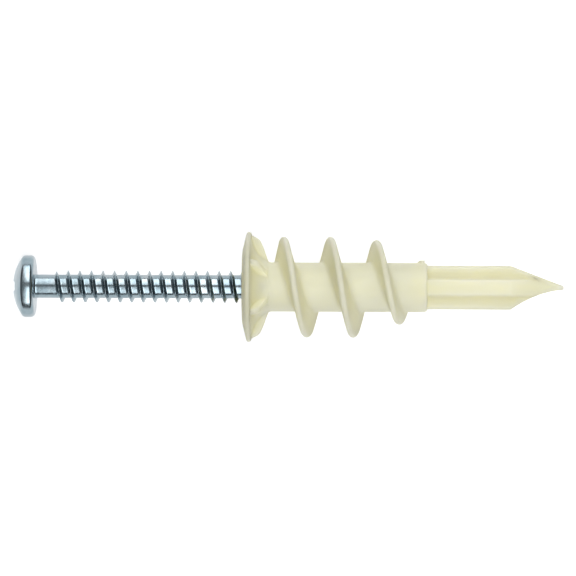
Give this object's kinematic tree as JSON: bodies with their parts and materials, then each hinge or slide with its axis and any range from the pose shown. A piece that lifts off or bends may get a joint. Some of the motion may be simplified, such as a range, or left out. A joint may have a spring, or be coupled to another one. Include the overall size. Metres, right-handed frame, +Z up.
{
  "type": "self-drilling drywall anchor with screw",
  "caption": "Nylon drywall anchor with a coarse thread and a four-fin drilling point, its pan head screw started in the mouth.",
  "frame": {"origin": "centre of the anchor's mouth, on the front face of its flange", "axes": "+X level, towards the drilling point, +Y level across, +Z up from the surface that the pair lies on; the common axis leans up from +X by 6.21 degrees, because the flange is wider than the head"},
  "size_m": [0.0707, 0.0142, 0.0148],
  "materials": {
    "nylon": "satin, translucent",
    "zinc_steel": "bright zinc"
  },
  "bodies": {
    "anchor": {"anchor": "nylon"},
    "screw": {"screw": "zinc_steel"}
  },
  "joints": [
    {"name": "screw_travel", "type": "slide", "parent": "anchor", "child": "screw", "axis": [0.9941, 0, 0.1081], "range_m": [-0.0052, 0.0174]}
  ]
}
